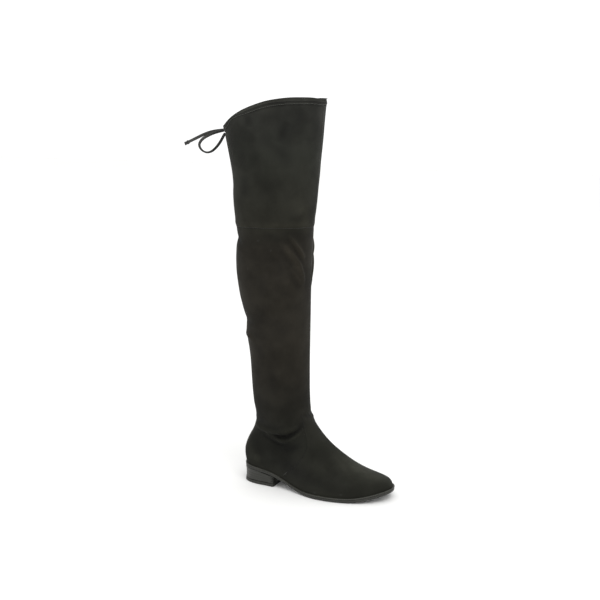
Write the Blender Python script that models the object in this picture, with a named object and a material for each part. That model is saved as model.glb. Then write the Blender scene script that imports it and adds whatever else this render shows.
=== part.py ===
"""Thigh high pull-on boot for the right foot, standing empty on its low heel.

Units are metres.  +X runs to the toe, -Y to the outer side of the foot, +Z up.
The origin is the centre of the heel's resting face.  Lengths "along" start at the
back end of the outsole.
"""
import math

import bmesh
import bpy
import numpy as np

# Driving sizes
SOLE_LENGTH = 0.248
BALL_WIDTH = 0.088
BOOT_HEIGHT = 0.600
CALF_WIDTH = 0.102
HEEL_HEIGHT = 0.0245
HEEL_LENGTH = 0.060
TOE_SPRING = 0.0130
TOE_SWING = 0.007
WALL = 0.0018
HEM_DEPTH = 0.010
HEM_STEP = 0.0007
OUTSOLE_THICK = 0.0046
WELT_THICK = 0.0021
WELT_MARGIN = 0.0022
WELT_PROUD = 0.0002
EDGE_ROUND = 0.0008
INSOLE_THICK = 0.0022
INSOLE_PLAY = 0.0008
TOP_LIFT_THICK = 0.0048
SEAT_GAP = 0.0003
HEEL_CENTRE = 0.029
LACE_WIDTH = 0.0024
KNOT_SIZE = 0.0066
LOOP_REACH = 0.046
TAIL_REACH = 0.064

# How finely the forms are cut
AROUND = 46
HEEL_POINTS = 13

# Feather line of the upper: along and half widths to the outer and inner side,
# as shares of the sole length and the ball width
OUTLINE = [
    # along, outer, inner
    (0.000, 0.000, 0.000),
    (0.040, 0.255, 0.250),
    (0.120, 0.325, 0.320),
    (0.220, 0.335, 0.330),
    (0.340, 0.375, 0.285),
    (0.460, 0.475, 0.260),
    (0.580, 0.550, 0.330),
    (0.670, 0.545, 0.430),
    (0.760, 0.495, 0.480),
    (0.850, 0.420, 0.440),
    (0.930, 0.290, 0.320),
    (1.000, 0.000, 0.000),
]

# Side view of the sole: shares of the heel height, toe spring and sole thickness,
# and of the margin that the sole shows round the upper
PROFILE = [
    # along, heel, spring, thickness, margin
    (0.00, 1.00, 0.00, 0.75, 0.70),
    (0.12, 0.91, 0.00, 0.75, 0.70),
    (0.23, 0.74, 0.00, 0.80, 0.70),
    (0.32, 0.46, 0.00, 0.70, 0.75),
    (0.42, 0.14, 0.00, 0.75, 0.80),
    (0.49, 0.02, 0.00, 0.85, 1.00),
    (0.54, 0.00, 0.00, 1.00, 1.00),
    (0.74, 0.00, 0.00, 1.00, 1.00),
    (0.80, 0.00, 0.10, 1.00, 1.00),
    (0.86, 0.00, 0.30, 1.00, 1.00),
    (0.93, 0.00, 0.63, 1.00, 1.00),
    (1.00, 0.00, 1.00, 0.90, 0.90),
]

# Sections of the upper, from the feather line to the collar: height as a share of the
# boot's height, back and front end as shares of the sole length, half widths as shares
# of the calf width, how far the section follows the foot and how far it rides the heel
SECTIONS = [
    # height, back, front, outer, inner, foot, ride
    (0.000, 0.002, 0.990, 0.30, 0.30, 1.00, 1.00),
    (0.005, 0.001, 0.988, 0.30, 0.30, 1.00, 1.00),
    (0.013, -0.004, 0.982, 0.31, 0.31, 1.00, 1.00),
    (0.027, -0.009, 0.950, 0.31, 0.31, 1.00, 0.99),
    (0.040, -0.009, 0.885, 0.31, 0.31, 1.00, 0.97),
    (0.053, -0.004, 0.808, 0.31, 0.31, 0.96, 0.92),
    (0.073, 0.009, 0.722, 0.31, 0.31, 0.85, 0.82),
    (0.097, 0.027, 0.650, 0.31, 0.31, 0.66, 0.64),
    (0.123, 0.048, 0.576, 0.32, 0.32, 0.42, 0.40),
    (0.153, 0.066, 0.504, 0.34, 0.34, 0.18, 0.18),
    (0.188, 0.076, 0.442, 0.37, 0.37, 0.04, 0.05),
    (0.225, 0.060, 0.428, 0.38, 0.38, 0.00, 0.00),
    (0.257, 0.052, 0.425, 0.38, 0.38, 0.00, 0.00),
    (0.322, 0.042, 0.424, 0.39, 0.39, 0.00, 0.00),
    (0.370, 0.032, 0.425, 0.41, 0.41, 0.00, 0.00),
    (0.402, 0.013, 0.426, 0.42, 0.42, 0.00, 0.00),
    (0.434, 0.020, 0.427, 0.42, 0.42, 0.00, 0.00),
    (0.465, -0.002, 0.428, 0.44, 0.44, 0.00, 0.00),
    (0.496, -0.023, 0.428, 0.47, 0.47, 0.00, 0.00),
    (0.528, -0.037, 0.429, 0.48, 0.48, 0.00, 0.00),
    (0.560, -0.047, 0.433, 0.50, 0.50, 0.00, 0.00),
    (0.590, -0.050, 0.434, 0.50, 0.50, 0.00, 0.00),
    (0.621, -0.049, 0.440, 0.50, 0.50, 0.00, 0.00),
    (0.652, -0.034, 0.442, 0.49, 0.49, 0.00, 0.00),
    (0.698, -0.051, 0.447, 0.51, 0.51, 0.00, 0.00),
    (0.728, -0.058, 0.461, 0.54, 0.54, 0.00, 0.00),
    (0.760, -0.064, 0.469, 0.55, 0.55, 0.00, 0.00),
    (0.790, -0.061, 0.476, 0.55, 0.55, 0.00, 0.00),
    (0.820, -0.066, 0.484, 0.57, 0.57, 0.00, 0.00),
    (0.850, -0.079, 0.489, 0.59, 0.59, 0.00, 0.00),
    (0.880, -0.093, 0.497, 0.61, 0.61, 0.00, 0.00),
    (0.910, -0.108, 0.504, 0.63, 0.63, 0.00, 0.00),
    (0.940, -0.119, 0.509, 0.65, 0.65, 0.00, 0.00),
    (1.000, -0.127, 0.526, 0.65, 0.65, 0.00, 0.00),
]

# Heights at which the toe is longest and the instep line meets the shin, as shares of
# the boot's height, and the slope of the line behind the shin
TOE_SHARE = 0.013
INSTEP_SHARE = 0.225
SHIN_RISE = 5.0

# Collar edge: drop below the boot's height, share of the whole drop, by turn from
# the front (0) to the back (1), and the share of the height where rings begin to follow it
COLLAR_DROP = 0.041
THIGH_SHARE = 0.7
COLLAR = [
    # turn, drop
    (0.00, 0.00),
    (0.15, -0.06),
    (0.25, -0.06),
    (0.40, 0.03),
    (0.50, 0.20),
    (0.60, 0.42),
    (0.70, 0.69),
    (0.80, 0.92),
    (1.00, 1.00),
]

# Side of the heel block and of the top lift from below: height and how far it stands in
HEEL_SIDE = [
    # share of the block's height, inset in metres
    (0.00, 0.0006),
    (0.20, 0.0009),
    (0.23, 0.0013),
    (0.26, 0.0009),
    (0.44, 0.0010),
    (0.47, 0.0014),
    (0.50, 0.0010),
    (0.68, 0.0008),
    (0.71, 0.0012),
    (0.74, 0.0007),
    (0.95, 0.0002),
    (1.00, 0.0004),
]
TOP_LIFT_SIDE = [
    # height in metres, inset in metres
    (0.0000, 0.0006),
    (0.0006, 0.0000),
    (0.0030, 0.0001),
    (0.0044, 0.0002),
    (TOP_LIFT_THICK, 0.0006),
]

# The bow: lean of each side away from straight back, and the run of a loop and of a
# tail as shares of its reach: out from the knot, down, and across
OUTER_LEAN = math.radians(53.0)
INNER_LEAN = math.radians(72.0)
KNOT_SHARE = 0.920
LOOP = [
    # out, down, across
    (0.10, -0.02, 0.00),
    (0.30, 0.02, -0.02),
    (0.60, 0.10, -0.05),
    (0.88, 0.24, -0.04),
    (1.00, 0.42, 0.00),
    (0.92, 0.60, 0.04),
    (0.72, 0.70, 0.06),
    (0.50, 0.64, 0.06),
    (0.28, 0.42, 0.04),
    (0.12, 0.16, 0.02),
    (0.07, 0.08, 0.00),
]
TAIL = [
    # out, down, across
    (0.05, -0.05, 0.02),
    (0.20, -0.06, 0.04),
    (0.40, -0.01, 0.04),
    (0.60, 0.06, 0.02),
    (0.80, 0.16, -0.01),
    (1.00, 0.27, -0.02),
]

# Plain looks
RUBBER = (0.045, 0.046, 0.040)
SUEDE = (0.023, 0.022, 0.019)
LINING = (0.030, 0.030, 0.028)


# Turns of the points round the upper and the sole, from the back round the outer side
TURNS = -math.pi + 2.0 * math.pi * np.arange(AROUND) / AROUND


def along_table(rows, column, at):
    """Read a table at given places with a smooth curve that keeps its highs and lows."""
    place = np.array([row[0] for row in rows])
    value = np.array([row[column] for row in rows])
    step = np.diff(place)
    rise = np.diff(value) / step
    slope = np.zeros(len(place))
    slope[0] = rise[0]
    slope[-1] = rise[-1]
    for row in range(1, len(place) - 1):
        if rise[row - 1] * rise[row] > 0.0:
            near = 2.0 * step[row] + step[row - 1]
            far = step[row] + 2.0 * step[row - 1]
            slope[row] = (near + far) / (near / rise[row - 1] + far / rise[row])
    at = np.clip(np.asarray(at, dtype=float), place[0], place[-1])
    left = np.clip(np.searchsorted(place, at, side="right") - 1, 0, len(step) - 1)
    part = (at - place[left]) / step[left]
    blend = part * part * (3.0 - 2.0 * part)
    start = value[left] + slope[left] * step[left] * part * (1.0 - part) ** 2
    bend = slope[left + 1] * step[left] * part * part * (part - 1.0)
    return start + blend * (value[left + 1] - value[left]) + bend


def half_width(along, side):
    """Half width of the feather line on one side; side is -1 outer or +1 inner."""
    rows = [(math.acos(1.0 - 2.0 * row[0]), row[1], row[2]) for row in OUTLINE]
    place = np.arccos(1.0 - 2.0 * np.clip(along / SOLE_LENGTH, 0.0, 1.0))
    return BALL_WIDTH * along_table(rows, 1 if side < 0 else 2, place)


def underside(along):
    """Height of the outsole's lower face."""
    share = along / SOLE_LENGTH
    return HEEL_HEIGHT * along_table(PROFILE, 1, share) + TOE_SPRING * along_table(PROFILE, 2, share)


def outsole_top(along):
    """Height of the outsole's upper face."""
    return underside(along) + OUTSOLE_THICK * along_table(PROFILE, 3, along / SOLE_LENGTH)


def swing(along):
    """Sideways run of the foot's middle line towards the inner side."""
    return TOE_SWING * np.clip(along / SOLE_LENGTH, 0.0, 1.0) ** 2


def instep_height(along):
    """Height of the upper's front line over the outsole, climbing on behind the instep."""
    heights = np.linspace(TOE_SHARE, INSTEP_SHARE, 4000)
    fronts = along_table(SECTIONS, 2, heights)
    line = BOOT_HEIGHT * np.interp(-along / SOLE_LENGTH, -fronts, heights)
    return line + SHIN_RISE * np.clip(SOLE_LENGTH * fronts[-1] - along, 0.0, None)


def collar_height(turn):
    """Height of the collar's edge at each turn."""
    share = np.abs(np.arctan2(np.sin(turn), np.cos(turn))) / math.pi
    return BOOT_HEIGHT - COLLAR_DROP * along_table(COLLAR, 1, share)


def skin(turn, height):
    """Points of the upper's outer face; turn 0 is the front and a negative turn the outer side."""
    share = height / BOOT_HEIGHT
    back = SOLE_LENGTH * along_table(SECTIONS, 1, share)
    front = SOLE_LENGTH * along_table(SECTIONS, 2, share)
    foot = along_table(SECTIONS, 5, share)
    along = 0.5 * (back + front) + 0.5 * (front - back) * np.cos(turn)
    outer = np.sin(turn) < 0.0
    leg = CALF_WIDTH * np.where(outer, along_table(SECTIONS, 3, share), along_table(SECTIONS, 4, share))
    leg = leg * np.abs(np.sin(turn)) ** 0.95
    reach = SOLE_LENGTH * along_table(SECTIONS, 2, np.minimum(share, TOE_SHARE))
    place = SOLE_LENGTH * (along - back) / (reach - back)
    tread = np.where(outer, half_width(place, -1), half_width(place, 1))
    low = BOOT_HEIGHT * TOE_SHARE
    closing = np.clip((height - low) / np.maximum(instep_height(along) - low, 1e-6), 0.0, 1.0) ** 2.2
    wide = foot * tread * np.sqrt(1.0 - closing) + (1.0 - foot) * leg
    over = swing(along) * foot + np.where(outer, -wide, wide)
    up = height + along_table(SECTIONS, 6, share) * (outsole_top(np.clip(along, 0.0, SOLE_LENGTH)) + SEAT_GAP)
    return np.stack([along, over, up], axis=-1)


def ring(turns, heights, inward=0.0, flat=False):
    """One ring of the upper, moved inward along the surface's own normal."""
    step = 1e-4
    here = skin(turns, heights)
    across = skin(turns + 0.02, heights) - skin(turns - 0.02, heights)
    upward = skin(turns, heights + step) - skin(turns, np.maximum(heights - step, 0.0))
    normal = np.cross(across, upward)
    if flat:
        normal[:, 2] = 0.0
    normal /= np.linalg.norm(normal, axis=1)[:, None]
    return here - inward * normal


def new_object(name, mesh_data, colour, roughness):
    """Link a mesh as one named object with its own material."""
    mesh = bpy.data.meshes.new(name)
    mesh_data.to_mesh(mesh)
    mesh_data.free()
    thing = bpy.data.objects.new(name, mesh)
    bpy.context.collection.objects.link(thing)
    thing.data.materials.append(new_material(name, colour, roughness))
    return thing


def new_material(name, colour, roughness):
    """A plain surface in one grey tone."""
    material = bpy.data.materials.new(name + "_material")
    material.use_nodes = True
    shader = material.node_tree.nodes["Principled BSDF"]
    shader.inputs["Base Color"].default_value = (*colour, 1.0)
    shader.inputs["Roughness"].default_value = roughness
    return material


def solid(name, rings, colour, roughness, caps):
    """Join rings of equal count to one closed body, capped or turned back on itself."""
    data = bmesh.new()
    loops = [[data.verts.new(point) for point in points] for points in rings]
    count = len(loops[0])
    pairs = list(zip(loops, loops[1:]))
    if not caps:
        pairs.append((loops[-1], loops[0]))
    for low, high in pairs:
        for here in range(count):
            after = (here + 1) % count
            data.faces.new((low[here], low[after], high[after], high[here]))
    if caps:
        half = count // 2
        for loop in (loops[0], loops[-1]):
            data.faces.new((loop[0], loop[1], loop[-1]))
            for here in range(1, (count - 1) // 2):
                data.faces.new((loop[here], loop[here + 1], loop[-here - 1], loop[-here]))
            if count == 2 * half:
                data.faces.new((loop[half - 1], loop[half], loop[half + 1]))
    bmesh.ops.recalc_face_normals(data, faces=data.faces)
    for face in data.faces:
        face.smooth = True
    for edge in data.edges:
        edge.smooth = edge.calc_face_angle(0.0) < math.radians(38.0)
    return new_object(name, data, colour, roughness)


def moved(points, outward):
    """Move a flat loop outward in plan by one length or one length a point."""
    before = np.roll(points, 1, axis=0)
    after = np.roll(points, -1, axis=0)
    run = after - before
    normal = np.stack([run[:, 1], -run[:, 0]], axis=1)
    normal /= np.linalg.norm(normal, axis=1)[:, None]
    return points + normal * np.reshape(outward, (-1, 1))


def lifted(points, height):
    """Give a flat loop its heights and place it in the part's frame."""
    return np.column_stack([points[:, 0] - HEEL_CENTRE, points[:, 1], height])


def feather_loop():
    """The upper's lower edge in plan, from the back round the outer side."""
    return skin(TURNS, 0.0 * TURNS)[:, :2]


def sole_loop():
    """The outsole's edge in plan."""
    inner = feather_loop()
    margin = WELT_MARGIN * along_table(PROFILE, 4, inner[:, 0] / SOLE_LENGTH)
    return moved(inner, margin)


def level(points, surface, rise):
    """Lay a flat loop on a surface of the sole, raised by a length."""
    return lifted(points, surface(points[:, 0]) + rise)


def build_outsole():
    """A thin plate in one piece from heel seat to toe, its edges rounded."""
    edge = sole_loop()
    soft = EDGE_ROUND
    rings = [
        level(moved(edge, -4.0 * soft), underside, 0.0),
        level(moved(edge, -soft), underside, 0.0),
        level(edge, underside, soft),
        level(edge, outsole_top, -0.5 * soft),
        level(moved(edge, -0.5 * soft), outsole_top, 0.0),
        level(moved(edge, -4.0 * soft), outsole_top, 0.0),
    ]
    return solid("outsole", rings, RUBBER, 0.55, caps=True)


def build_welt():
    """The strip that runs round the upper on the outsole's edge."""
    inner = feather_loop()
    margin = WELT_MARGIN * along_table(PROFILE, 4, inner[:, 0] / SOLE_LENGTH)
    thick = WELT_THICK * along_table(PROFILE, 3, inner[:, 0] / SOLE_LENGTH)
    near = moved(inner, SEAT_GAP)
    far = moved(inner, margin + WELT_PROUD)
    soft = 0.3 * EDGE_ROUND
    rings = [
        level(near, outsole_top, SEAT_GAP),
        level(moved(far, -soft), outsole_top, SEAT_GAP),
        level(far, outsole_top, SEAT_GAP + soft),
        level(far, outsole_top, SEAT_GAP + thick - soft),
        level(moved(far, -soft), outsole_top, SEAT_GAP + thick),
        level(near, outsole_top, SEAT_GAP + thick),
    ]
    return solid("welt", rings, RUBBER, 0.5, caps=False)


def heel_loop(front, inset):
    """The heel's plan: the sole's back end cut off by a straight breast."""
    edge = sole_loop()
    turned = AROUND // 2
    sides = (edge[: turned + 1], np.vstack([edge[:1], edge[:turned - 1:-1]]))
    share = np.linspace(0.0, 1.0, HEEL_POINTS)
    along = edge[0, 0] + (front - edge[0, 0]) * (1.0 - np.cos(0.5 * math.pi * share))
    outer, inner = [np.interp(along, side[:, 0], side[:, 1]) for side in sides]
    loop = np.vstack([np.column_stack([along, outer]), np.column_stack([along, inner])[:0:-1]])
    return moved(loop, -inset)


def build_heel():
    """The block under the heel seat, its sides hollowed and scored by stack lines."""
    low = TOP_LIFT_THICK + SEAT_GAP
    rings = []
    for share, inset in HEEL_SIDE:
        loop = heel_loop(HEEL_LENGTH, inset)
        tall = underside(loop[:, 0]) - SEAT_GAP - low
        rings.append(lifted(loop, low + share * tall))
    return solid("heel", rings, RUBBER, 0.5, caps=True)


def build_top_lift():
    """The wearing piece under the heel block, a little wider at the ground."""
    rings = []
    for height, inset in TOP_LIFT_SIDE:
        loop = heel_loop(HEEL_LENGTH, inset)
        rings.append(lifted(loop, height * np.ones(len(loop))))
    return solid("top_lift", rings, RUBBER, 0.6, caps=True)


def build_insole():
    """The inner sole, lying on the outsole inside the upper."""
    inner = ring(TURNS, 0.0 * TURNS, WALL, flat=True)[:, :2]
    edge = moved(inner, -INSOLE_PLAY)
    rings = [
        level(edge, outsole_top, SEAT_GAP),
        level(edge, outsole_top, SEAT_GAP + 0.7 * INSOLE_THICK),
        level(moved(edge, -0.3 * INSOLE_THICK), outsole_top, SEAT_GAP + INSOLE_THICK),
    ]
    return solid("insole", rings, LINING, 0.8, caps=True)


def upper_heights(count_foot, count_shaft):
    """Heights of the upper's rings, close together over the foot."""
    foot = INSTEP_SHARE * np.linspace(0.0, 1.0, count_foot) ** 1.25
    shaft = np.linspace(INSTEP_SHARE, 1.0, count_shaft)[1:]
    return BOOT_HEIGHT * np.concatenate([foot, shaft])


def to_collar(height):
    """Heights round one ring, bent in the thigh so that the last ring is the collar's edge."""
    start = THIGH_SHARE * BOOT_HEIGHT
    part = max(height - start, 0.0) / (BOOT_HEIGHT - start)
    return height + part * (collar_height(TURNS) - BOOT_HEIGHT)


def build_upper():
    """Foot and shaft in one hollow piece, open at the collar and underneath."""
    outer = [ring(TURNS, to_collar(height)) for height in upper_heights(26, 26)[:-1]]
    inner = [ring(TURNS, to_collar(height), WALL) for height in upper_heights(16, 18)[1:-1]]
    collar = collar_height(TURNS)
    hem = [
        ring(TURNS, collar - HEM_DEPTH),
        ring(TURNS, collar - HEM_DEPTH + HEM_STEP, -HEM_STEP),
        ring(TURNS, collar - HEM_STEP, -HEM_STEP),
        ring(TURNS, collar),
        ring(TURNS, collar, WALL),
    ]
    outer = [points for points in outer if points[0, 2] < collar[0] - HEM_DEPTH - 0.002]
    inner = [points for points in inner if points[0, 2] < collar[0] - 0.003]
    base = [ring(TURNS, 0.0 * TURNS, WALL, flat=True)]
    rings = outer + hem + inner[::-1] + base
    for points in rings:
        points[:, 0] -= HEEL_CENTRE
    return solid("upper", rings, SUEDE, 0.95, caps=False)


def smooth_path(points, count):
    """Even steps along a smooth curve through a few points."""
    points = np.array(points)
    ends = np.vstack([2.0 * points[0] - points[1], points, 2.0 * points[-1] - points[-2]])
    fine = []
    for here in range(1, len(ends) - 2):
        before, start, stop, after = ends[here - 1 : here + 3]
        for part in np.linspace(0.0, 1.0, 12, endpoint=False):
            bend = 2.0 * before - 5.0 * start + 4.0 * stop - after
            twist = 3.0 * (start - stop) + after - before
            fine.append(0.5 * (2.0 * start + (stop - before) * part + bend * part**2 + twist * part**3))
    fine = np.vstack(fine + [points[-1]])
    run = np.concatenate([[0.0], np.cumsum(np.linalg.norm(np.diff(fine, axis=0), axis=1))])
    even = np.linspace(0.0, run[-1], count)
    return np.column_stack([np.interp(even, run, fine[:, axis]) for axis in range(3)])


def knot_centre():
    """Middle of the bow's knot, just behind the back of the hem."""
    height = KNOT_SHARE * BOOT_HEIGHT
    back = skin(np.array([math.pi]), np.array([height]))[0]
    return np.array([back[0] - HEEL_CENTRE - HEM_STEP - SEAT_GAP - 0.5 * KNOT_SIZE, 0.0, height])


def build_knot():
    """The bow's knot as one small closed body."""
    data = bmesh.new()
    bmesh.ops.create_uvsphere(data, u_segments=12, v_segments=8, radius=0.5 * KNOT_SIZE)
    bmesh.ops.translate(data, verts=data.verts, vec=knot_centre())
    for face in data.faces:
        face.smooth = True
    return new_object("tie_knot", data, SUEDE, 0.9)


def bow_place(table, reach, lean, side):
    """Turn a table of out, down and across shares into places beside the knot."""
    out = np.array([-math.cos(lean), side * math.sin(lean), 0.0])
    across = np.array([out[1], -out[0], 0.0])
    centre = knot_centre()
    return [centre + reach * (row[0] * out + row[2] * across - row[1] * np.array([0, 0, 1])) for row in table]


def build_cord(name, places, count):
    """A round lace as one curve with closed ends."""
    curve = bpy.data.curves.new(name, "CURVE")
    curve.dimensions = "3D"
    curve.bevel_depth = 0.5 * LACE_WIDTH
    curve.bevel_resolution = 2
    curve.use_fill_caps = True
    path = smooth_path(places, count)
    spline = curve.splines.new("POLY")
    spline.points.add(count - 1)
    for point, place in zip(spline.points, path):
        point.co = (*place, 1.0)
    thing = bpy.data.objects.new(name, curve)
    bpy.context.collection.objects.link(thing)
    curve.materials.append(new_material(name, SUEDE, 0.9))
    return thing


def build_tie():
    """The collar's drawstring, tied in a bow at the back."""
    build_knot()
    for side, name, lean in ((-1, "outer", OUTER_LEAN), (1, "inner", INNER_LEAN)):
        build_cord("tie_loop_" + name, bow_place(LOOP, LOOP_REACH, lean, side), 28)
        build_cord("tie_tail_" + name, bow_place(TAIL, TAIL_REACH, lean, side), 16)


def main():
    """Clear the scene and build every piece."""
    for thing in list(bpy.data.objects):
        bpy.data.objects.remove(thing, do_unlink=True)
    build_outsole()
    build_welt()
    build_heel()
    build_top_lift()
    build_insole()
    build_upper()
    build_tie()


main()
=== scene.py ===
"""Looks of a thigh high boot in black faux suede, from its sole to the bow at its collar.

Lengths are metres in the boot's own frame: +X to the toe, -Y to the outer side, +Z up.
Places on the skin are typed in millimetres, and turns about the leg in degrees from the front.
"""
import enum
import logging
import math
from collections.abc import Callable
from dataclasses import dataclass, field

import bmesh
import bpy
import numpy as np
from mathutils import Matrix, Vector, noise
from mathutils.bvhtree import BVHTree


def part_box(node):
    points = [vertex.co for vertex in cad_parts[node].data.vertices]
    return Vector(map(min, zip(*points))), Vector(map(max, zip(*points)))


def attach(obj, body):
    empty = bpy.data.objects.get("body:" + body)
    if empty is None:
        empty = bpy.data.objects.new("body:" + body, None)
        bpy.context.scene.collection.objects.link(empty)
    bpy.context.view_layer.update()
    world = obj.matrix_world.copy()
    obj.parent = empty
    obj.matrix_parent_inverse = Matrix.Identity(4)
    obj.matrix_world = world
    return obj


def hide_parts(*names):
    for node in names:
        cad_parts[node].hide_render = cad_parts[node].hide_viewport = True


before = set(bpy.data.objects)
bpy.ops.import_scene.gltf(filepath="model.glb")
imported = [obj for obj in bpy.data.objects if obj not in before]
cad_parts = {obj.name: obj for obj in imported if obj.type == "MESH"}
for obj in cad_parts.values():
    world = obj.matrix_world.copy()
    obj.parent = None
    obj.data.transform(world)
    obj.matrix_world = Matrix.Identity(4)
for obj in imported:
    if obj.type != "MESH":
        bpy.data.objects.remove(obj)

LOG = logging.getLogger("boot")
MM = 0.001


class Side(enum.Enum):
    """Which side of the right foot something lies on."""

    OUTER = -1
    INNER = 1


class SoleTone(enum.Enum):
    """How bright each moulded sole piece is coloured."""

    EDGE = 0.026
    SIDE = 0.015
    BLOCK = 0.0175


def node_mesh(name: str) -> bmesh.types.BMesh:
    """Merge the loose triangles of a CAD node to clean four sided faces.

    Args:
        name: The CAD node.

    Returns:
        A mesh in the boot's frame, its faces pointing outwards.
    """
    data = bmesh.new()
    data.from_mesh(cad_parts[name].data)
    bmesh.ops.remove_doubles(data, verts=data.verts, dist=0.01 * MM)
    bmesh.ops.join_triangles(
        data,
        faces=data.faces,
        angle_face_threshold=math.radians(50.0),
        angle_shape_threshold=math.pi,
        cmp_seam=False,
        cmp_sharp=False,
        cmp_uvs=False,
        cmp_vcols=False,
        cmp_materials=False,
    )
    bmesh.ops.recalc_face_normals(data, faces=data.faces)
    return data


def finished(name: str, data: bmesh.types.BMesh, *finishes: bpy.types.Material) -> bpy.types.Object:
    """Make an object of a mesh, shaded smooth, and let it ride on the boot.

    Args:
        name: The piece's name.
        data: Its mesh, which is freed.
        finishes: The materials in the order of the faces' indices.

    Returns:
        The new object, at the origin.
    """
    for face in data.faces:
        face.smooth = True
    mesh = bpy.data.meshes.new(name)
    data.to_mesh(mesh)
    data.free()
    for finish in finishes:
        mesh.materials.append(finish)
    piece = bpy.data.objects.new(name, mesh)
    bpy.context.scene.collection.objects.link(piece)
    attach(piece, "root")
    return piece


def rounded(piece: bpy.types.Object, levels: int) -> None:
    """Round a piece by subdivision and bake the result into its mesh.

    Args:
        piece: The object to round.
        levels: How many times each face is halved.
    """
    modifier = piece.modifiers.new("rounding", "SUBSURF")
    modifier.levels = levels
    modifier.render_levels = levels
    graph = bpy.context.evaluated_depsgraph_get()
    graph.update()
    fine = bpy.data.meshes.new_from_object(piece.evaluated_get(graph), depsgraph=graph)
    piece.modifiers.clear()
    old = piece.data
    piece.data = fine
    bpy.data.meshes.remove(old)
    fine.name = piece.name


def keep_edges(data: bmesh.types.BMesh, degrees: float, sharpness: float) -> None:
    """Hold the sharp edges of a mesh against rounding.

    Args:
        data: The mesh.
        degrees: The turn between two faces from which their edge is held.
        sharpness: How firmly, from 0 to 1.
    """
    layer = data.edges.layers.float.new("crease_edge")
    for edge in data.edges:
        if len(edge.link_faces) == 2 and edge.calc_face_angle(0.0) > math.radians(degrees):
            edge[layer] = sharpness


def dress_node(
    node: str, finish: bpy.types.Material, levels: int, degrees: float
) -> bpy.types.Object:
    """Replace a CAD node by a rounded copy with its own finish.

    Args:
        node: The CAD node.
        finish: The material.
        levels: How many times each face is halved.
        degrees: The turn from which an edge stays sharp.

    Returns:
        The new piece.
    """
    data = node_mesh(node)
    keep_edges(data, degrees, 0.9)
    piece = finished(node + "_form", data, finish)
    rounded(piece, levels)
    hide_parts(node)
    LOG.info("%s: %d faces", piece.name, len(piece.data.polygons))
    return piece


@dataclass(frozen=True)
class KneeSeam:
    """The knee seam's plane: its height at the leg's middle, its two slopes and that middle."""

    height: float = 0.4095
    ahead: float = 0.0270
    outward: float = 0.0500
    middle: float = 0.0280

    def over(self, points: np.ndarray) -> np.ndarray:
        """How far points lie above the seam."""
        slope = self.ahead * (points[:, 0] - self.middle) - self.outward * points[:, 1]
        return points[:, 2] - self.height - slope

    def level(self, turn: float, radius: float) -> float:
        """The seam's height at a turn about the leg."""
        return self.height + radius * (self.ahead * math.cos(turn) - self.outward * math.sin(turn))

    def draw(self, board: "Board", axes: object) -> bpy.types.NodeSocket:
        """Return the height above the seam as a socket."""
        tilt = board.calc("MULTIPLY_ADD", axes["X"], self.ahead, self.height - self.middle * self.ahead)
        return board.calc("SUBTRACT", axes["Z"], board.calc("MULTIPLY_ADD", axes["Y"], -self.outward, tilt))


@dataclass(frozen=True)
class Stitch:
    """Size of one kind of stitch: the thread's run and width, and the step between two."""

    run: float
    size: float
    pitch: float


def sew(name: str, path: list, stitch: Stitch, thread: bpy.types.Material) -> None:
    """Sew a row of thread along places on a surface.

    Args:
        name: The row's name.
        path: Pairs of a place and the surface's normal there.
        stitch: The stitch's size.
        thread: The material.
    """
    data = bmesh.new()
    run = 0.0
    half = 0.5 * stitch.size
    for (low, normal), (high, _) in zip(path, path[1:]):
        gap = (high - low).length
        while run <= gap:
            centre = low.lerp(high, run / max(gap, 1e-9)) + 0.1 * stitch.size * normal
            along = (high - low).normalized()
            across = normal.cross(along).normalized()
            turn = Matrix((along, across, along.cross(across))).transposed().to_4x4()
            size = Matrix.Diagonal((0.5 * stitch.run, half, half, 1.0))
            place = Matrix.Translation(centre) @ turn @ size
            bmesh.ops.create_icosphere(data, subdivisions=1, radius=1.0, matrix=place)
            run += stitch.pitch
        run -= gap
    piece = finished(name, data, thread)
    LOG.info("%s: %d faces", name, len(piece.data.polygons))


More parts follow.
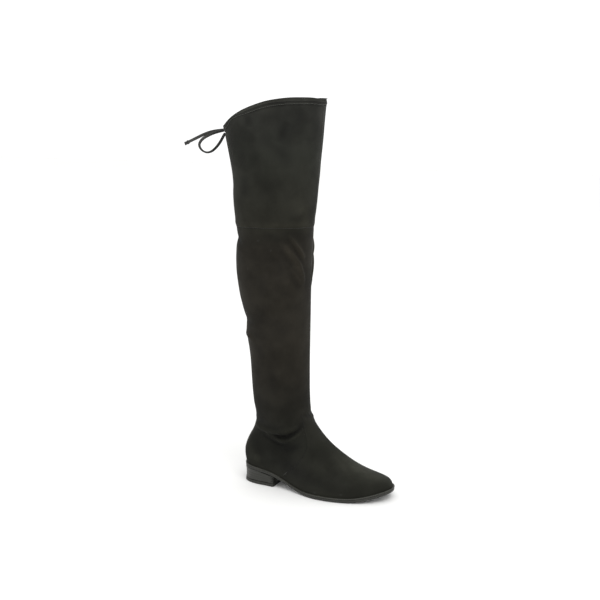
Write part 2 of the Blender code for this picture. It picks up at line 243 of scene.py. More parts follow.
class Board:
    """Places the nodes of one tree and joins them."""

    def __init__(self, tree: bpy.types.NodeTree) -> None:
        """Take the tree that the nodes go into."""
        self.tree = tree

    def add(self, kind: str, inputs: dict | None = None, **settings) -> bpy.types.Node:
        """Add a node.

        Args:
            kind: The node's type without its ShaderNode prefix.
            inputs: Values or sockets by input name or index.
            settings: Attributes of the node.

        Returns:
            The node.
        """
        node = self.tree.nodes.new(kind if kind.startswith("Node") else "ShaderNode" + kind)
        for key, value in settings.items():
            setattr(node, key, value)
        for key, value in (inputs or {}).items():
            self.feed(node.inputs[key], value)
        return node

    def feed(self, socket: bpy.types.NodeSocket, value: object) -> None:
        """Join a socket to another, or set its value."""
        if isinstance(value, bpy.types.NodeSocket):
            self.tree.links.new(value, socket)
        else:
            socket.default_value = value

    def calc(self, operation: str, *values: object) -> bpy.types.NodeSocket:
        """Return the result of a Math node on sockets or numbers."""
        return self.add("Math", dict(enumerate(values)), operation=operation).outputs[0]

    def blend(self, share: object, low: object, high: object) -> bpy.types.NodeSocket:
        """Return a colour between two others.

        Args:
            share: How much of the second colour shows.
            low: The first colour.
            high: The second colour.

        Returns:
            The blended colour's socket.
        """
        node = self.add("Mix", data_type="RGBA")
        self.feed(node.inputs["Factor"], share)
        self.feed(node.inputs["A"], low)
        self.feed(node.inputs["B"], high)
        return node.outputs["Result"]

    def noise(
        self, where: object, scale: object, detail: float, roughness: float = 0.5
    ) -> bpy.types.NodeSocket:
        """Return a cloudy value from 0 to 1.

        Args:
            where: The socket of the coordinates.
            scale: Clouds to the metre, as a number or a socket.
            detail: How many finer layers are added.
            roughness: How strong the finer layers are.

        Returns:
            The value's socket.
        """
        values = {"Vector": where, "Scale": scale, "Detail": detail, "Roughness": roughness}
        return self.add("TexNoise", values).outputs["Fac"]

    def ramp(self, value: object, *stops: tuple[float, tuple]) -> bpy.types.NodeSocket:
        """Return a colour read from a ramp.

        Args:
            value: The socket that picks the place on the ramp.
            stops: Places from 0 to 1 with their colours.

        Returns:
            The colour's socket.
        """
        node = self.add("ValToRGB", {0: value})
        marks = node.color_ramp.elements
        while len(marks) < len(stops):
            marks.new(0.5)
        for mark, (place, colour) in zip(marks, stops):
            mark.position = place
        for mark, (place, colour) in zip(marks, stops):
            mark.color = (*colour, 1.0)
        return node.outputs[0]

    def span(
        self, value: object, low: float, high: float, first: float = 0.0, last: float = 1.0
    ) -> bpy.types.NodeSocket:
        """Return a value moved softly from one range to another."""
        values = {0: value, 1: low, 2: high, 3: first, 4: last}
        return self.add("MapRange", values, interpolation_type="SMOOTHSTEP").outputs[0]

    def stored(self, name: str) -> bpy.types.NodeSocket:
        """Return a value that the mesh stores at its points."""
        return self.add("Attribute", attribute_name=name).outputs["Fac"]

    def chain(self, operation: str, *values: object) -> bpy.types.NodeSocket:
        """Carry one operation through many values.

        Args:
            operation: The Math node's operation.
            values: Sockets or numbers, taken in turn.

        Returns:
            The last result's socket.
        """
        result = values[0]
        for value in values[1:]:
            result = self.calc(operation, result, value)
        return result


def new_group(name: str, inputs: dict, outputs: tuple[str, ...]) -> tuple[Board, dict, dict]:
    """Start a shared node group.

    Args:
        name: The group's name.
        inputs: Names that come in with their usual numbers, or None for a place.
        outputs: Names of the numbers that go out.

    Returns:
        The board of the group, its input sockets and its output sockets.
    """
    tree = bpy.data.node_groups.new(name, "ShaderNodeTree")
    for label, usual in inputs.items():
        kind = "NodeSocketVector" if usual is None else "NodeSocketFloat"
        socket = tree.interface.new_socket(label, in_out="INPUT", socket_type=kind)
        if usual is not None:
            socket.default_value = usual
    for label in outputs:
        tree.interface.new_socket(label, in_out="OUTPUT", socket_type="NodeSocketFloat")
    board = Board(tree)
    start = board.add("NodeGroupInput")
    end = board.add("NodeGroupOutput")
    return board, start.outputs, end.inputs


class Effects:
    """Node groups that more than one finish uses."""

    def __init__(self) -> None:
        """Build each group once."""
        self.nap = self._nap()
        self.seam = self._seam()
        self.wear = self._wear()

    @staticmethod
    def _nap() -> bpy.types.NodeTree:
        """Short brushed fibres with soft hand marks in them."""
        inputs = {"Place": None, "Fibres": 1600.0, "Marks": 26.0}
        board, start, end = new_group("short_nap", inputs, ("Height", "Shade"))
        fibres = board.noise(start["Place"], start["Fibres"], 2.0, 0.6)
        tufts = board.noise(start["Place"], 420.0, 2.0, 0.5)
        marks = board.span(board.noise(start["Place"], start["Marks"], 3.0, 0.55), 0.3, 0.7)
        board.feed(end["Height"], board.calc("MULTIPLY_ADD", tufts, 0.5, fibres))
        board.feed(end["Shade"], board.calc("MULTIPLY_ADD", marks, 0.8, board.calc("MULTIPLY", tufts, 0.2)))
        return board.tree

    @staticmethod
    def _seam() -> bpy.types.NodeTree:
        """A closed seam: a fine groove between two soft lips."""
        inputs = {"Distance": 1.0, "Width": 0.003, "Lips": 1.0}
        board, start, end = new_group("closed_seam", inputs, ("Height", "Groove"))
        share = board.calc("DIVIDE", board.calc("ABSOLUTE", start["Distance"]), start["Width"])
        groove = board.span(share, 0.0, 0.3, 1.0, 0.0)
        lips = board.span(share, 0.15, 1.0, 1.0, 0.0)
        raised = board.calc("MULTIPLY", lips, start["Lips"])
        board.feed(end["Height"], board.calc("SUBTRACT", raised, board.calc("MULTIPLY", groove, 1.6)))
        board.feed(end["Groove"], groove)
        return board.tree

    @staticmethod
    def _wear() -> bpy.types.NodeTree:
        """Fine rubs, dust and mould marks on a sole piece."""
        inputs = {"Place": None, "Amount": 0.5}
        board, start, end = new_group("sole_wear", inputs, ("Rubs", "Dust", "Height"))
        stretch = board.add("Mapping", {"Vector": start["Place"], "Scale": (60.0, 60.0, 240.0)})
        lines = board.noise(stretch.outputs[0], 1.0, 4.0, 0.6)
        spots = board.noise(start["Place"], 180.0, 5.0, 0.6)
        dust = board.noise(start["Place"], 55.0, 6.0, 0.65)
        board.feed(end["Rubs"], board.calc("MULTIPLY", board.span(lines, 0.52, 0.72), start["Amount"]))
        board.feed(end["Dust"], board.calc("MULTIPLY", board.span(dust, 0.48, 0.75), start["Amount"]))
        board.feed(end["Height"], board.calc("MULTIPLY_ADD", lines, 0.6, spots))
        return board.tree


def blank(name: str) -> tuple[bpy.types.Material, Board, bpy.types.Node, bpy.types.NodeSocket]:
    """Start a material.

    Args:
        name: The material's name.

    Returns:
        The material, its board, its Principled shader and the Object coordinates.
    """
    material = bpy.data.materials.new(name)
    material.use_nodes = True
    board = Board(material.node_tree)
    shader = material.node_tree.nodes["Principled BSDF"]
    return material, board, shader, board.add("TexCoord").outputs["Object"]


def set_sheen(shader: bpy.types.Node, weight: float, roughness: float, tint: tuple) -> None:
    """Give a shader a soft fibre sheen."""
    shader.inputs["Sheen Weight"].default_value = weight
    shader.inputs["Sheen Roughness"].default_value = roughness
    shader.inputs["Sheen Tint"].default_value = (*tint, 1.0)


@dataclass(frozen=True)
class Suede:
    """Black faux suede of the foot and shaft, a little warmer at the calf, with painted shade and highlights
    in its colour.
    """

    foot: tuple = (0.0106, 0.0108, 0.0078)
    ankle_painted_shade: tuple = (0.0060, 0.0061, 0.0042)
    calf: tuple = (0.0102, 0.0088, 0.0062)
    knee: tuple = (0.0094, 0.0090, 0.0062)
    thigh: tuple = (0.0104, 0.0109, 0.0084)
    collar: tuple = (0.0136, 0.0138, 0.0115)
    light: float = 1.40
    dark: float = 0.72
    # Painted highlight on fold crests and painted shade in fold hollows, as factors on the colour.
    crest_painted_highlight: float = 1.60
    hollow_painted_shade: float = 0.50
    clouds: float = 0.45
    nap_and_light_gain: float = 2.2
    rim_painted_highlight: float = 0.40
    knee_band_painted_highlight: float = 0.22
    counter_spot_light: float = 0.45
    toe_painted_highlight: float = 0.20
    quarter_painted_shade: float = 0.26
    knee_seam: KneeSeam = KneeSeam()
    seam_side: float = 0.0060
    seam_low: float = 0.122
    tunnel: tuple = (0.0056, 0.0102)
    groove: tuple = (0.004, 0.004, 0.0035, 1.0)
    groove_share: float = 0.55
    counter_spot: tuple = (0.002, -0.029, 0.043)
    lint: float = 0.05

    def make(self, effects: Effects) -> bpy.types.Material:
        """Build the material.

        Args:
            effects: The shared node groups.

        Returns:
            The material.
        """
        material, board, shader, place = blank("faux_suede")
        axes = board.add("SeparateXYZ", {0: place}).outputs
        values = {"Place": place, "Fibres": 1700.0, "Marks": 22.0}
        nap = board.add("Group", values, node_tree=effects.nap).outputs
        # Base colour by height; the ankle's darker stop is painted shade.
        base = board.ramp(
            board.calc("DIVIDE", axes["Z"], 0.62),
            (0.06, self.foot),
            (0.14, self.ankle_painted_shade),
            (0.30, self.calf),
            (0.62, self.calf),
            (0.66, self.knee),
            (0.84, self.thigh),
            (0.93, self.collar),
        )
        gain = self._gain(board, place, axes, nap["Shade"])
        grey = board.add("CombineColor", {0: gain, 1: gain, 2: gain}).outputs[0]
        toned = board.add("Mix", {"Factor": 1.0}, data_type="RGBA", blend_type="MULTIPLY")
        board.feed(toned.inputs["A"], base)
        board.feed(toned.inputs["B"], grey)
        height, groove = self._seams(board, axes, effects)
        shaded = board.calc("MULTIPLY", groove, self.groove_share)
        darker = board.blend(shaded, toned.outputs["Result"], self.groove)
        speck = board.calc("MULTIPLY", board.stored("lint"), nap["Shade"])
        lint = (self.lint, self.lint, self.lint, 1.0)
        board.feed(shader.inputs["Base Color"], board.blend(speck, darker, lint))
        board.feed(shader.inputs["Roughness"], board.span(nap["Shade"], 0.0, 1.0, 0.92, 0.80))
        shader.inputs["Specular IOR Level"].default_value = 0.16
        set_sheen(shader, 0.03, 0.35, (0.80, 0.82, 0.78))
        values = {"Height": nap["Height"], "Strength": 0.55, "Distance": 0.00022}
        fine = board.add("Bump", values).outputs[0]
        values = {"Height": height, "Strength": 0.9, "Distance": 0.0006, "Normal": fine}
        board.feed(shader.inputs["Normal"], board.add("Bump", values).outputs[0])
        return material

    def _gain(self, board: Board, place: object, axes: object, marks: object) -> bpy.types.NodeSocket:
        """Draw how light the cloth is against its base colour, with painted shade and highlights.

        Args:
            board: The material's board.
            place: The Object coordinates.
            axes: The same coordinates, separated.
            marks: The shade of the nap's own marks.

        Returns:
            The factor on the base colour.
        """
        clouds = board.span(board.noise(place, 11.0, 2.0, 0.45), 0.32, 0.68)
        calm = board.span(axes["Z"], 0.08, 0.16, 0.3, 1.0)
        clouds = board.calc("MULTIPLY_ADD", board.calc("SUBTRACT", clouds, 0.5), calm, 0.5)
        fine = board.calc("MULTIPLY", marks, 1.0 - self.clouds)
        mottle = board.calc("MULTIPLY_ADD", clouds, self.clouds, fine)
        # Painted shade in the folds' hollows and painted highlight on their crests, from the stored fold
        # lift.
        raised = board.span(board.stored("fold_lift"), -2.4, 2.0, self.hollow_painted_shade, self.crest_painted_highlight)
        # Patches that are partly nap marks and partly painted highlight and shade.
        lean = board.calc("MULTIPLY_ADD", board.stored("nap_and_light_patches"), self.nap_and_light_gain, 1.0)
        # Painted highlight along the collar's top rim.
        rim = board.span(board.stored("collar_depth"), 0.0045, 0.0055, self.rim_painted_highlight, 0.0)
        # Painted highlight on the band just above the knee seam.
        over_knee = board.span(self.knee_seam.draw(board, axes), 0.0, 0.001)
        band = board.calc("MULTIPLY", over_knee, board.span(axes["Z"], 0.412, 0.425, self.knee_band_painted_highlight, 0.0))
        # A lighter spot low on the quarter near the heel.
        away = board.add("VectorMath", {0: place, 1: self.counter_spot}, operation="DISTANCE").outputs["Value"]
        counter_spot = board.span(away, 0.002, 0.009, self.counter_spot_light, 0.0)
        # Painted highlight on the toe.
        toe = board.span(axes["X"], 0.11, 0.18, 0.0, self.toe_painted_highlight)
        # Painted shade low on the quarter, behind the vamp.
        behind = board.span(axes["X"], 0.055, 0.11, -self.quarter_painted_shade, 0.0)
        quarter = board.calc("MULTIPLY", behind, board.span(axes["Z"], 0.07, 0.11, 1.0, 0.0))
        patches = board.chain("ADD", lean, rim, band, counter_spot, toe, quarter)
        light = board.span(mottle, 0.0, 1.0, self.dark, self.light)
        return board.chain("MULTIPLY", light, raised, patches)

    def _seams(self, board: Board, axes: object, effects: Effects) -> tuple:
        """Draw the knee seam, the front and back seams, the vamp seam and the collar's tunnel.

        Args:
            board: The material's board.
            axes: The separated Object coordinates.
            effects: The shared node groups.

        Returns:
            The summed height and the darkest groove.
        """
        across = board.calc("SUBTRACT", axes["Y"], self.seam_side)
        shaft = board.span(axes["Z"], self.seam_low - 0.006, self.seam_low, 0.01, 0.0)
        front = board.calc("GREATER_THAN", axes["X"], 0.02)
        off = board.calc("MULTIPLY", shaft, front)
        depth = board.stored("collar_depth")
        runs = (
            (self.knee_seam.draw(board, axes), 0.0030, 0.3),
            (board.calc("ADD", board.calc("ABSOLUTE", across), off), 0.0024, 1.0),
            (board.stored("vamp_seam"), 0.0023, 1.0),
            (board.calc("SUBTRACT", depth, self.tunnel[0]), 0.0024, 1.0),
            (board.calc("SUBTRACT", depth, self.tunnel[1]), 0.0018, 1.0),
        )
        heights = []
        grooves = []
        for distance, width, lips in runs:
            values = {"Distance": distance, "Width": width, "Lips": lips}
            seam = board.add("Group", values, node_tree=effects.seam)
            heights.append(seam.outputs["Height"])
            grooves.append(seam.outputs["Groove"])
        return board.chain("ADD", *heights), board.chain("MAXIMUM", *grooves)


@dataclass(frozen=True)
class Lining:
    """Dark knitted lining of the shaft and the insole's cloth."""

    name: str = "knit_lining"
    colour: tuple = (0.013, 0.013, 0.012)
    pitch: float = 1100.0

    def make(self) -> bpy.types.Material:
        """Build the material."""
        material, board, shader, place = blank(self.name)
        lean = board.add("Mapping", {"Vector": place, "Scale": (1.0, 1.0, 0.7)}).outputs[0]
        loops = board.add("TexVoronoi", {"Vector": lean, "Scale": self.pitch}, feature="F1")
        ribs = loops.outputs["Distance"]
        pale = tuple(1.7 * part for part in self.colour)
        board.feed(shader.inputs["Base Color"], board.ramp(ribs, (0.15, pale), (0.75, self.colour)))
        dull = board.noise(place, 60.0, 2.0)
        board.feed(shader.inputs["Roughness"], board.span(dull, 0.3, 0.7, 0.78, 0.92))
        set_sheen(shader, 0.10, 0.5, (0.8, 0.8, 0.8))
        bump = board.add("Bump", {"Height": ribs, "Strength": 0.5, "Distance": 0.0003}, invert=True)
        board.feed(shader.inputs["Normal"], bump.outputs[0])
        return material


@dataclass(frozen=True)
class Rubber:
    """Moulded sole piece, semi-matt, with fine rubs and dust."""

    name: str
    tone: SoleTone
    roughness: float = 0.48
    dust: float = 0.5
    dust_colour: tuple = (0.115, 0.112, 0.098, 1.0)

    def make(self, effects: Effects) -> bpy.types.Material:
        """Build the material.

        Args:
            effects: The shared node groups.

        Returns:
            The material.
        """
        material, board, shader, place = blank(self.name)
        wear = board.add("Group", {"Place": place, "Amount": self.dust}, node_tree=effects.wear).outputs
        grey = self.tone.value
        base = (0.98 * grey, grey, 0.76 * grey)
        pale = tuple(1.5 * part for part in base)
        rubbed = board.blend(wear["Rubs"], (*base, 1.0), (*pale, 1.0))
        dusty = board.blend(board.calc("MULTIPLY", wear["Dust"], 0.35), rubbed, self.dust_colour)
        board.feed(shader.inputs["Base Color"], dusty)
        dull = board.span(wear["Dust"], 0.0, 0.5, self.roughness, self.roughness + 0.2)
        board.feed(shader.inputs["Roughness"], dull)
        shader.inputs["Specular IOR Level"].default_value = 0.42
        bump = board.add("Bump", {"Height": wear["Height"], "Strength": 0.25, "Distance": 0.0002})
        board.feed(shader.inputs["Normal"], bump.outputs[0])
        return material


@dataclass(frozen=True)
class Thread:
    """Twisted sewing thread."""

    name: str = "sewing_thread"
    colour: tuple = (0.052, 0.053, 0.047)

    def make(self) -> bpy.types.Material:
        """Build the material."""
        material, board, shader, place = blank(self.name)
        strands = board.noise(place, 2600.0, 1.0)
        pale = tuple(1.6 * part for part in self.colour)
        board.feed(shader.inputs["Base Color"], board.ramp(strands, (0.35, self.colour), (0.65, pale)))
        board.feed(shader.inputs["Roughness"], board.span(strands, 0.3, 0.7, 0.5, 0.7))
        bump = board.add("Bump", {"Height": strands, "Strength": 0.5, "Distance": 0.0001})
        board.feed(shader.inputs["Normal"], bump.outputs[0])
        return material


@dataclass(frozen=True)
class LaceCloth:
    """Faux suede lace with a finer nap than the boot's."""

    colour: tuple = (0.0230, 0.0232, 0.0212)

    def make(self, effects: Effects) -> bpy.types.Material:
        """Build the material.

        Args:
            effects: The shared node groups.

        Returns:
            The material.
        """
        material, board, shader, place = blank("suede_lace")
        values = {"Place": place, "Fibres": 2600.0, "Marks": 120.0}
        nap = board.add("Group", values, node_tree=effects.nap).outputs
        pale = tuple(1.6 * part for part in self.colour)
        board.feed(shader.inputs["Base Color"], board.ramp(nap["Shade"], (0.2, self.colour), (0.9, pale)))
        board.feed(shader.inputs["Roughness"], board.span(nap["Height"], 0.4, 1.0, 0.9, 0.75))
        set_sheen(shader, 0.05, 0.4, (0.8, 0.82, 0.78))
        bump = board.add("Bump", {"Height": nap["Height"], "Strength": 0.5, "Distance": 0.0002})
        board.feed(shader.inputs["Normal"], bump.outputs[0])
        return material


def bell(away: np.ndarray, spread: float) -> np.ndarray:
    """A soft hump, 1 in the middle and about a third at the spread."""
    return np.exp(-((away / spread) ** 2))


@dataclass(frozen=True)
class Fold:
    """One soft stroke: a ridge, or a trough where the rise is negative.

    Places, rise and width are millimetres on the outer side. Both is the share of the rise that
    repeats on the inner side, and ease says how slowly the ends fade.
    """

    places: tuple
    rise: float
    width: float
    both: float = 0.0
    ease: float = 0.6

    def lift(self, points: np.ndarray) -> np.ndarray:
        """How far the skin moves out at each point.

        Args:
            points: Places on the skin in metres.

        Returns:
            Moves in metres.
        """
        total = self.rise * MM * self._bell(points, 1.0)
        if self.both:
            total = total + self.both * self.rise * MM * self._bell(points, -1.0)
        return total

    def _bell(self, points: np.ndarray, side: float) -> np.ndarray:
        """A bell across the crease that fades towards its ends."""
        line = np.array(self.places, dtype=float) * MM * np.array([1.0, side, 1.0])
        away, share, _ = line_distance(points, line)
        fade = np.sin(math.pi * np.clip(share, 0.0, 1.0)) ** self.ease
        return fade * bell(away, self.width * MM)


def line_distance(points: np.ndarray, line: np.ndarray) -> tuple[np.ndarray, np.ndarray, np.ndarray]:
    """Measure points against a line of straight parts.

    Args:
        points: The points.
        line: The corners of the line.

    Returns:
        Each point's distance, its share of the line's run, and the nearest part's number.
    """
    best = np.full(len(points), 1e9)
    share = np.zeros(len(points))
    part = np.zeros(len(points), dtype=int)
    run = np.linalg.norm(np.diff(line, axis=0), axis=1)
    start = np.concatenate([[0.0], np.cumsum(run)])
    for number, (low, high) in enumerate(zip(line, line[1:])):
        reach = high - low
        along = np.clip((points - low) @ reach / (reach @ reach), 0.0, 1.0)
        away = np.linalg.norm(points - low - along[:, None] * reach, axis=1)
        nearer = away < best
        best[nearer] = away[nearer]
        share[nearer] = (start[number] + along[nearer] * run[number]) / start[-1]
        part[nearer] = number
    return best, share, part


ANKLE_FOLDS = (
    Fold(
        (
            (-8, -14, 96), (0, -23, 96), (10, -28, 94), (34, -32, 92),
            (57, -33, 97), (72, -26, 104), (79, -12, 116),
        ),
        3.0, 3.6, 0.8,
    ),
    Fold(((24, -31, 87), (42, -32, 85), (56, -32, 87), (67, -30, 93), (80, -20, 103)), -3.6, 3.2, 0.8),
    Fold(
        (
            (18, -30, 91), (35, -31, 83), (43, -31, 79), (52, -31, 79),
            (63, -31, 84), (74, -28, 93), (79, -18, 106),
        ),
        2.6, 2.4, 0.7,
    ),
    Fold(((12, -28, 83), (25, -29, 78), (34, -30, 74), (44, -30, 72), (58, -31, 74)), -1.8, 2.6, 0.6),
    Fold(((30, -30, 68), (47, -30, 66), (59, -31, 68), (71, -30, 72), (82, -27, 77)), -1.5, 6.0, 0.6),
    Fold(((77, -17, 106), (80, -21, 99), (84, -22, 90), (88, -24, 82), (90, -26, 73)), 1.0, 2.0, 0.8),
    Fold(((74, -22, 121), (79, -10, 118), (80, 0, 116), (79, 10, 118), (74, 22, 121)), -1.4, 3.2),
    Fold(((72, -24, 111), (80, -10, 109), (82, 0, 108), (80, 10, 109), (72, 24, 111)), 0.9, 3.4),
    Fold(((-14, 0, 104), (-8, -18, 102), (4, -28, 104), (20, -33, 108)), -0.9, 4.0, 0.9),
)
KNEE_FOLDS = (
    Fold(
        ((51, -44, 392), (57, -41, 387), (65, -34, 374), (73, -23, 357), (76, -17, 340), (77, -14, 324)),
        3.8, 3.4, 0.8,
    ),
    Fold(((60, -39, 402), (68, -31, 385), (73, -24, 368), (77, -14, 352)), -0.6, 1.4, 0.8),
    Fold(((62, -37, 403), (68, -31, 391), (73, -24, 380), (77, -14, 365)), 3.8, 3.0, 0.7),
    Fold(((46, -46, 388), (55, -41, 374), (64, -34, 358), (72, -24, 340)), -0.6, 2.2, 0.7),
    Fold(((66, -33, 350), (72, -23, 334), (76, -13, 318)), 1.4, 2.6, 0.8),
    Fold(((62, -36, 342), (69, -29, 328), (74, -19, 312)), -0.4, 3.0, 0.6),
    Fold(((35, -49, 379), (47, -45, 369), (58, -39, 353)), 0.9, 3.2, 0.7),
    Fold(
        ((-24, 30, 391), (-31, 4, 391), (-29, -20, 391), (-22, -36, 389), (-12, -43, 386)),
        -4.0, 4.4, 0.9, 1.3,
    ),
    Fold(((-30, 8, 380), (-28, -18, 380), (-21, -36, 377), (-6, -46, 370)), 1.2, 4.2, 0.8),
    Fold(
        ((-14, 16, 245), (-15, -4, 245), (-12, -22, 244), (-5, -34, 241), (8, -39, 236)),
        5.2, 5.0, 0.9, 1.4,
    ),
    Fold(
        ((-17, 16, 267), (-17, -4, 267), (-14, -22, 266), (-6, -36, 264), (6, -42, 261)),
        -1.8, 5.5, 0.8, 1.4,
    ),
    Fold(((-13, 16, 222), (-13, -6, 222), (-10, -20, 221), (-3, -31, 218)), -1.4, 4.5, 0.8, 1.4),
)
THIGH_FOLDS = (
    Fold(((64, -53, 528), (74, -49, 548), (84, -42, 566), (90, -33, 582)), -0.9, 9.0, 0.7),
    Fold(((44, -60, 520), (56, -58, 545), (68, -53, 566)), 0.6, 10.0, 0.7),
    Fold(((-58, 12, 545), (-58, 0, 545), (-56, -14, 546), (-50, -30, 549), (-42, -42, 554)), -1.8, 3.4, 0.8),
    Fold(((-30, -48, 545), (-20, -56, 530), (-6, -60, 508), (4, -61, 480)), -0.8, 9.0, 0.8),
    Fold(((8, -60, 452), (22, -60, 462), (40, -57, 468), (56, -50, 470)), -0.4, 9.0, 0.8),
)
# Patches partly of nap marks and partly of painted highlight and shade: here the rise says how much lighter
# the patch is painted, as a share, and not a height.
NAP_AND_LIGHT_PATCHES = (
    Fold(((9, -66, 580), (12, -66, 570), (13, -65, 559)), -0.24, 8.0, 0.8),
    Fold(((57, -56, 538), (62, -54, 553), (70, -51, 568)), -0.30, 10.0, 0.8),
    Fold(((24, -66, 581), (39, -64, 584), (56, -60, 587)), 0.24, 9.0, 0.8),
    Fold(((71, -53, 596), (84, -43, 596), (93, -29, 593)), 0.18, 6.0, 0.8),
    Fold(((91, -28, 567), (91, -25, 556), (91, -24, 544)), 0.16, 9.0, 0.8),
    Fold(((40, -58, 509), (43, -56, 496), (47, -53, 483)), 0.12, 11.0, 0.8),
    Fold(((-3, -54, 490), (-2, -53, 472), (0, -53, 455)), -0.20, 11.0, 0.8),
    Fold(((28, -62, 548), (40, -60, 540), (52, -58, 532), (64, -52, 520), (66, -47, 500)), -0.18, 10.0, 0.8),
    Fold(((73, -37, 462), (77, -30, 446), (79, -24, 432)), 0.16, 9.0, 0.8),
    Fold(((80, -24, 446), (81, -17, 430), (81, -9, 400)), 0.36, 10.0, 0.8),
    Fold(((28, -56, 415), (52, -50, 415), (72, -36, 416), (84, -8, 418)), 0.50, 6.5, 0.8),
    Fold(((28, -54, 404), (40, -50, 400), (52, -46, 398)), -0.16, 6.0, 0.8),
    Fold(((59, -39, 389), (68, -30, 362), (75, -17, 327)), 0.26, 7.0, 0.8),
    Fold(((66, -34, 398), (74, -23, 379), (78, -10, 357)), 0.20, 6.0, 0.8),
    Fold(((58, -37, 338), (67, -30, 320), (74, -19, 306)), 0.24, 8.0, 0.8),
    Fold(((25, -45, 281), (47, -42, 294), (71, -23, 308)), 0.18, 9.0, 0.8),
    Fold(((52, -45, 370), (52, -44, 357), (52, -43, 340)), -0.14, 7.0, 0.8),
    Fold(((21, -51, 342), (24, -50, 325), (26, -48, 305)), -0.14, 9.0, 0.8),
    Fold(((35, -42, 249), (51, -38, 258), (63, -31, 271)), -0.12, 12.0, 0.8),
    Fold(((11, -40, 232), (14, -40, 220), (20, -40, 208)), -0.18, 9.0, 0.8),
    Fold(((32, -40, 203), (34, -39, 178), (36, -38, 152)), -0.15, 8.0, 0.8),
    Fold(((22, -33, 102), (36, -34, 98), (55, -33, 97)), -0.14, 6.0, 0.8),
    Fold(((70, -29, 98), (75, -21, 107), (78, -13, 116)), -0.28, 6.0, 0.8),
    Fold(
        (
            (20, -30, 48), (60, -35, 40), (92, -43, 33), (122, -45, 26),
            (152, -40, 21), (186, -29, 17), (222, 0, 20),
        ),
        -0.20, 14.0, 0.8,
    ),
    Fold(((124, -36, 46), (140, -33, 40), (158, -30, 34)), -0.14, 9.0, 0.8),
    Fold(((84, -8, 108), (117, -6, 72), (141, -2, 54), (164, 4, 41), (208, 3, 28)), 0.30, 15.0),
    Fold(((-20, -12, 92), (-18, -19, 68), (-10, -26, 52), (-4, -28, 30)), 0.28, 9.0, 0.8),
)
LINT = (
    (18, -50, 393), (-2, -48, 348), (38, -48, 380), (109, -45, 10), (152, -41, 13), (54, -33, 27),
)
# Along and height of the welt's top in metres.
FOOT_LINE = (
    (-0.03, 0.030), (0.02, 0.026), (0.06, 0.014), (0.10, 0.008), (0.17, 0.009), (0.22, 0.020),
)
TACK = ((50, -32, 24), (54, -33, 28), (57, -33, 32))
VAMP_SEAM = (
    (76, -17, 113), (80, -21, 99), (86, -23, 84), (88, -26, 74), (86, -29, 65),
    (83, -31, 57), (77, -33, 47), (67, -33, 39), (59, -33, 31), (54, -32, 23),
)


def read_vectors(items: bpy.types.bpy_prop_collection, name: str) -> np.ndarray:
    """Read one vector of every item of a mesh.

    Args:
        items: The mesh's points or normals.
        name: The vector's name.

    Returns:
        One row for each item.
    """
    rows = np.empty(len(items) * 3)
    items.foreach_get(name, rows)
    return rows.reshape(-1, 3)


